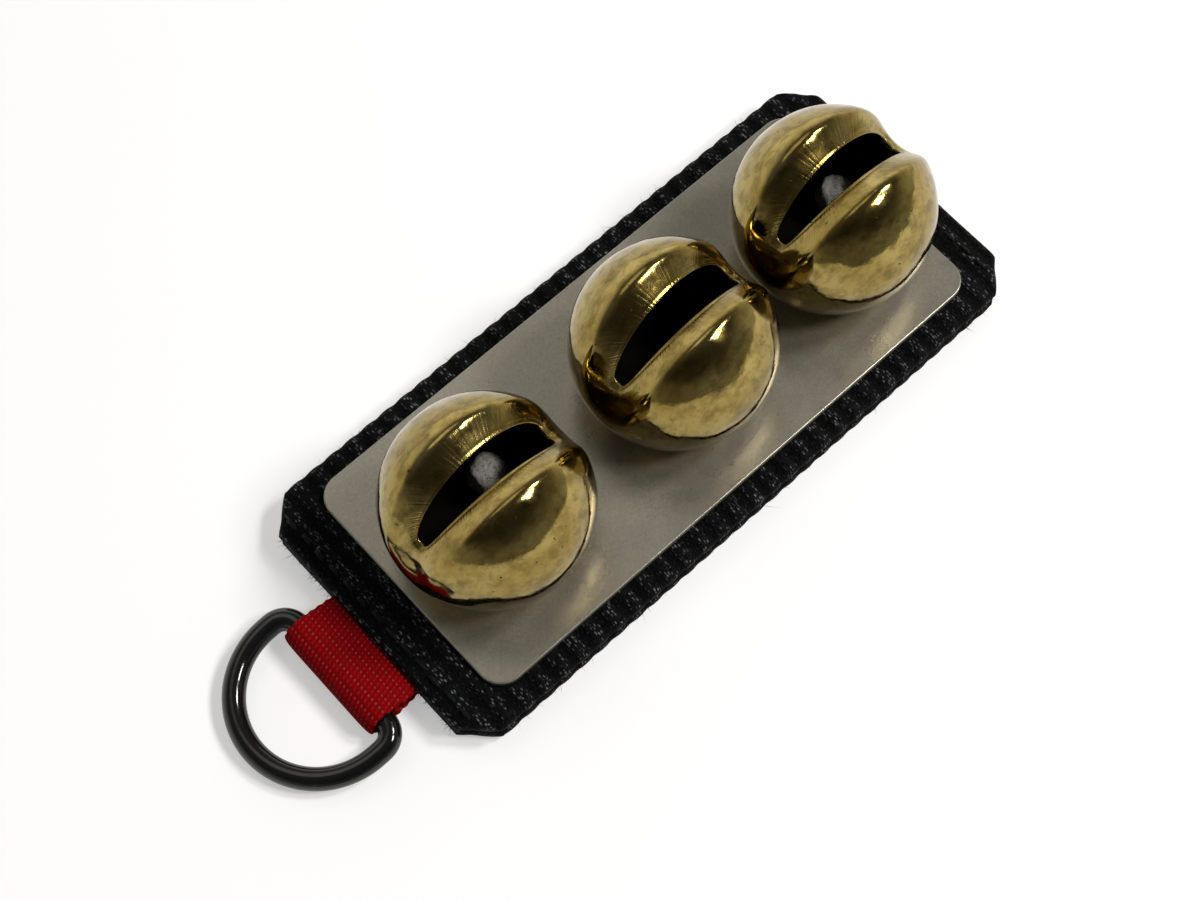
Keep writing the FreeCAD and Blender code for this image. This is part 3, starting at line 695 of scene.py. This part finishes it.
def loose_fibres(cloth):
    """Short fibres worn loose from the webbing's edges. Each is a tapered three-sided thread rooted just
    inside the edge, and its line leaves at a scattered heading and bends away as a parabola."""
    seed, at_end, at_sides, rows, corners = 7, 230, 300, 5, 3
    end_reach, end_inset, side_reach, side_inset = 20.0, 0.5, 52.0, 0.75
    lowest_root, highest_root, lowest, highest = 0.9, 5.6, 0.15, 6.0
    shortest, longest, radius, taper = 0.7, 1.7, 0.055, 1.02
    scatter, scatter_shape, curling, curling_shape = 0.75, [1, 1, 0.35], 0.45, [1, 1, 0.4]
    draw = np.random.default_rng(seed)
    low, high = corners_of("webbing_upper")
    side = draw.choice([-1.0, 1.0], at_sides)
    end_y = draw.uniform(-end_reach, end_reach, at_end)
    end_z = draw.uniform(lowest_root, highest_root, at_end)
    side_x = draw.uniform(-side_reach, side_reach, at_sides)
    side_z = draw.uniform(lowest_root, highest_root, at_sides)
    roots = np.concatenate([
        np.stack([np.full(at_end, low[0] + end_inset), end_y, end_z], axis=-1),
        np.stack([side_x, side * (high[1] - side_inset), side_z], axis=-1),
    ])
    outward = np.concatenate([np.tile([-1.0, 0, 0], (at_end, 1)), side[:, None] * SIDEWAYS])
    count = len(roots)
    heading = outward + draw.normal(0, scatter, (count, 3)) * scatter_shape
    heading /= np.linalg.norm(heading, axis=1, keepdims=True)
    length = draw.uniform(shortest, longest, count)[:, None, None]
    along = np.linspace(0, 1, rows)[None, :, None]
    curl = draw.normal(0, curling, (count, 1, 3)) * curling_shape
    line = roots[:, None] + length * (heading[:, None] * along + curl * along**2)
    line[..., 2] = np.clip(line[..., 2], lowest, highest)
    around = (np.arange(corners) * FULL_TURN / corners)[None, None, :, None]
    across = np.cross(heading, UP)
    across /= np.linalg.norm(across, axis=1, keepdims=True)
    thick = radius * (taper - along)[..., None]
    ring = np.cos(around) * across[:, None, None] + np.sin(around) * UP
    points = (line[:, :, None] + thick * ring).reshape(-1, 3)
    face = grid_faces(rows, corners, close_columns=True)
    faces = np.concatenate([face + k * rows * corners for k in range(count)])
    return make_piece("loose_fibres", "pad", [cloth], points, faces)


# ---------------------------------------------------------------- ring and tape


def tape_middle_line():
    """Middle line of the folded tape in the plane across the bar, as even points and their distances.
    It comes out of the pad, leaves for the bar along a tangent, goes round it and returns."""
    straight_steps, leg_steps, eye_steps, steps, reach, end_margin = 60, 30, 90, 420, 13, 0.5
    half_ply = TAB_PLY / 2
    radius = WIRE_RADIUS + TAB_CLEARANCE + half_ply
    touch = math.atan2(half_ply, TAB_MOUTH) + math.acos(radius / math.hypot(TAB_MOUTH, half_ply))
    straight = np.linspace(TAB_INNER_END - end_margin, TAB_MOUTH, straight_steps)
    straight = np.stack([straight, np.full(straight_steps, half_ply)], axis=-1)
    start, end = np.array([TAB_MOUTH, half_ply]), radius * np.array([math.cos(touch), math.sin(touch)])
    leg = start + (end - start) * np.linspace(0, 1, leg_steps)[1:-1, None]
    upper = np.concatenate([straight, leg])
    bend = np.linspace(touch, FULL_TURN - touch, eye_steps)
    eye = radius * np.stack([np.cos(bend), np.sin(bend)], axis=-1)
    line, even = even_steps(np.concatenate([upper, eye, upper[::-1] * [1, -1]]), steps)
    longer = np.pad(line, ((reach // 2, reach // 2), (0, 0)), mode="reflect", reflect_type="odd")
    return smoothed(longer, reach), even


def tape_tab(tape):
    """Red tape folded round the bar: a flat oval section carried along its middle line, with the outer
    side rising in ribs that are sine waves of the distance, and its ends rounded."""
    columns, side_sharpness, face_sharpness, end_round = 96, 0.24, 0.5, 0.4
    edge_dip, rib_dip, face_share = 0.16, 0.26, 3
    line, even = tape_middle_line()
    heading = np.gradient(line, axis=0)
    heading /= np.linalg.norm(heading, axis=1, keepdims=True)
    normals = np.stack([heading[:, 1], 0 * even, -heading[:, 0]], axis=-1)
    path = np.stack([line[:, 0], 0 * even, line[:, 1]], axis=-1) + BAR
    around = (np.arange(columns) * FULL_TURN / columns)[None]
    level, height = np.cos(around), np.sin(around)
    dip = 0.5 - 0.5 * np.sin(FULL_TURN * even / TAB_RIB_PITCH)[:, None]
    ends = np.sqrt(np.clip(np.minimum(even, even[-1] - even) / end_round, 0, 1))[:, None]
    wide = (TAB_HALF_WIDTH - edge_dip * dip) * np.sign(level) * np.abs(level) ** side_sharpness
    thick = TAB_PLY / 2 * np.sign(height) * np.abs(height) ** face_sharpness * ends
    thick = thick * (1 - rib_dip * dip * np.clip(-height * face_share, 0, 1))
    points = path[:, None] + wide[..., None] * SIDEWAYS + thick[..., None] * normals[:, None]
    uv = np.stack(np.broadcast_arrays(wide, even[:, None]), axis=-1)
    faces = grid_faces(len(even), columns, close_columns=True)
    return make_piece(
        "red_tape_tab", "pad", [tape], points.reshape(-1, 3), faces,
        uv.reshape(-1, 2), stands_for=["ring_tab"],
    )


def wire_ring(enamel):
    """The ring: a round section carried along its bar, two bends and half-round bow, leaning down
    until the bow lies level with the pad's underside."""
    bar_steps, bend_steps, bow_steps, steps, reach, columns = 50, 24, 150, 360, 9, 40
    bar_end = RING_HALF - RING_BEND
    quarter = np.linspace(0, HALF_TURN / 2, bend_steps)
    back = quarter[::-1]
    bow = np.linspace(HALF_TURN / 2, 3 * HALF_TURN / 2, bow_steps)
    parts = [
        np.stack([np.zeros(bar_steps), np.linspace(-bar_end, bar_end, bar_steps)], axis=-1),
        np.stack([np.cos(quarter) - 1, np.sin(quarter)], axis=-1) * RING_BEND + [0, bar_end],
        np.stack([np.cos(bow), np.sin(bow)], axis=-1) * RING_HALF - [BOW_OFFSET, 0],
        np.stack([np.cos(back) - 1, -np.sin(back)], axis=-1) * RING_BEND - [0, bar_end],
    ]
    line = np.concatenate([part[:-1] for part in parts])
    line, _ = even_steps(np.concatenate([line, line[:1]]), steps + 1)
    line = line[:-1]
    line = smoothed(np.concatenate([line[-(reach // 2):], line, line[:reach // 2]]), reach)
    heading = np.roll(line, -1, axis=0) - np.roll(line, 1, axis=0)
    heading /= np.linalg.norm(heading, axis=1, keepdims=True)
    flat = np.zeros(steps)
    outward = np.stack([heading[:, 1], -heading[:, 0], flat], axis=-1)[:, None]
    centre = np.stack([line[:, 0], line[:, 1], flat], axis=-1)[:, None]
    around = (np.arange(columns) * FULL_TURN / columns)[:, None]
    points = centre + WIRE_RADIUS * (np.cos(around) * outward + np.sin(around) * UP)
    lean = math.asin((BAR[2] - WIRE_RADIUS) / (BOW_OFFSET + RING_HALF))
    turn = np.array(Matrix.Rotation(-lean, 3, "Y"))
    points = points.reshape(-1, 3) @ turn.T + BAR
    faces = grid_faces(steps, columns, close_rows=True, close_columns=True)
    return make_piece("wire_ring", "ring", [enamel], points, faces, stands_for=["d_ring"])


# ---------------------------------------------------------------- stage


def floor_finish():
    """Plain pale floor with the faintest mottling, lifted towards white for what is looked at
    directly, in metal or through glass, so that it keeps the shadows."""
    pale, paler, white = (0.70, 0.70, 0.71), (0.715, 0.715, 0.725), (1, 1, 1, 1)
    floor = Finish("pale_floor")
    tone = floor.blend(floor.noise(60.0, 2), pale, paler)
    looked_at = floor.add("LightPath", output="Is Camera Ray")
    mirrored = floor.add("LightPath", output="Is Glossy Ray")
    passed = floor.add("LightPath", output="Is Transmission Ray")
    seen = floor.reckon("MAXIMUM", floor.reckon("MAXIMUM", looked_at, mirrored), passed)
    lift = floor.reckon("MULTIPLY", seen, FLOOR_LIFT)
    floor.give(floor.surface.inputs["Emission Color"], white)
    return floor.done(Base_Color=tone, Roughness=0.9, Specular_IOR_Level=0.1, Emission_Strength=lift)


def lay_floor():
    """A wide pale square that the part lies on."""
    mesh = bpy.data.meshes.new("floor")
    corners = [(x * FLOOR_REACH, y * FLOOR_REACH, 0) for x, y in ((-1, -1), (1, -1), (1, 1), (-1, 1))]
    mesh.from_pydata(corners, [], [(0, 1, 2, 3)])
    mesh.materials.append(floor_finish())
    floor = bpy.data.objects.new("floor", mesh)
    bpy.context.scene.collection.objects.link(floor)


def hang_lamp(name, place, watts):
    """A square lamp that faces the middle of the part."""
    lamp = bpy.data.lights.new(name, "AREA")
    lamp.size = LAMP_SIZE
    lamp.energy = watts
    lamp.color = LAMP_COLOUR
    holder = bpy.data.objects.new(name, lamp)
    bpy.context.scene.collection.objects.link(holder)
    away = Matrix.Translation(place)
    holder.matrix_world = away @ away.to_translation().to_track_quat("Z", "Y").to_matrix().to_4x4()


def light_the_room():
    """A room whose walls are pale low down and on the far side, and darker overhead, towards the ring
    and on the near side, with a soft skylight high on the far side and two lamps beyond the far end.
    Each span is a smooth step of one part of the direction looked in, and the spans are multiplied."""
    rising = (ALONG_Z, 0.12, 0.62, 1.0, 0.15)
    from_ring_end = (ALONG_X, -0.9, 0.5, 0.66, 1.0)
    from_near_side = (ALONG_Y, -0.9, 0.6, 0.30, 1.35)
    skylight_rim, skylight_heart = 0.925, 0.992
    world = bpy.data.worlds.new("room")
    world.use_nodes = True
    room = Mixture(world.node_tree)
    direction = room.add("TexCoord", output="Generated")
    walls = 1.0
    for axis, *edges in (rising, from_ring_end, from_near_side):
        share = room.span(room.part(direction, axis), *edges, interpolation_type="SMOOTHSTEP")
        walls = room.reckon("MULTIPLY", walls, share)
    aim = room.add("VectorMath", {0: direction, 1: SKYLIGHT_AIM}, "Value", operation="DOT_PRODUCT")
    skylight = room.span(aim, skylight_rim, skylight_heart, interpolation_type="SMOOTHSTEP")
    backdrop = world.node_tree.nodes["Background"]
    room.give(backdrop.inputs["Strength"], room.reckon("ADD", walls, skylight))
    room.give(backdrop.inputs["Color"], ROOM_COLOUR)
    bpy.context.scene.world = world
    hang_lamp("lamp_near", (0.40, -0.48, 0.80), 4.0)
    hang_lamp("lamp_far", (0.56, -0.26, 0.80), 4.2)


def set_camera():
    """Camera above the near long side and the ring end."""
    lens = bpy.data.cameras.new("camera")
    lens.lens = 55.6
    lens.sensor_width = 36.0
    lens.shift_x = -0.0242
    lens.shift_y = 0.0542
    lens.clip_start = 0.01
    right = (0.7346, -0.6784, 0.009)
    up = (0.6348, 0.6919, 0.3439)
    back = (-0.2395, -0.2469, 0.939)
    stand = Matrix((right, up, back)).transposed().to_4x4()
    stand.translation = (-0.0837, -0.0828, 0.2701)
    camera = bpy.data.objects.new("camera", lens)
    camera.matrix_world = stand
    bpy.context.scene.collection.objects.link(camera)
    bpy.context.scene.camera = camera


def dress_cad_nodes(plate, steel):
    """Give the nodes that stay in view their finishes."""
    for name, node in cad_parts.items():
        if node.hide_render:
            continue
        node.data.materials.clear()
        node.data.materials.append(plate if name == "mounting_plate" else steel)


brass = polished_brass()
inside = dark_inside_painted_shade()
cloth = black_webbing()
thread = black_thread()
cast = cast_pellet()
for number in BELL_NUMBERS:
    domed_half(number, brass, inside)
    cup_half(number, brass, inside)
    pellet(number, cast)
webbing_layer("webbing_top_layer", "webbing_upper", cloth, 1)
webbing_layer("webbing_bottom_layer", "webbing_lower", cloth, -1)
for end in PAD_ENDS:
    stitches(f"{end}_stitches", f"{end}_stitching", thread, 2 * LAYER_THICKNESS, [f"{end}_stitching"])
for end in PAD_ENDS:
    stitches(f"{end}_underside_stitches", f"{end}_stitching", thread, THREAD_RADIUS, [])
loose_fibres(cloth)
tape_tab(red_tape())
wire_ring(enamelled_wire())
dress_cad_nodes(satin_plate(), turned_steel())
lay_floor()
light_the_room()
set_camera()
bpy.context.scene.view_settings.view_transform = "Standard"
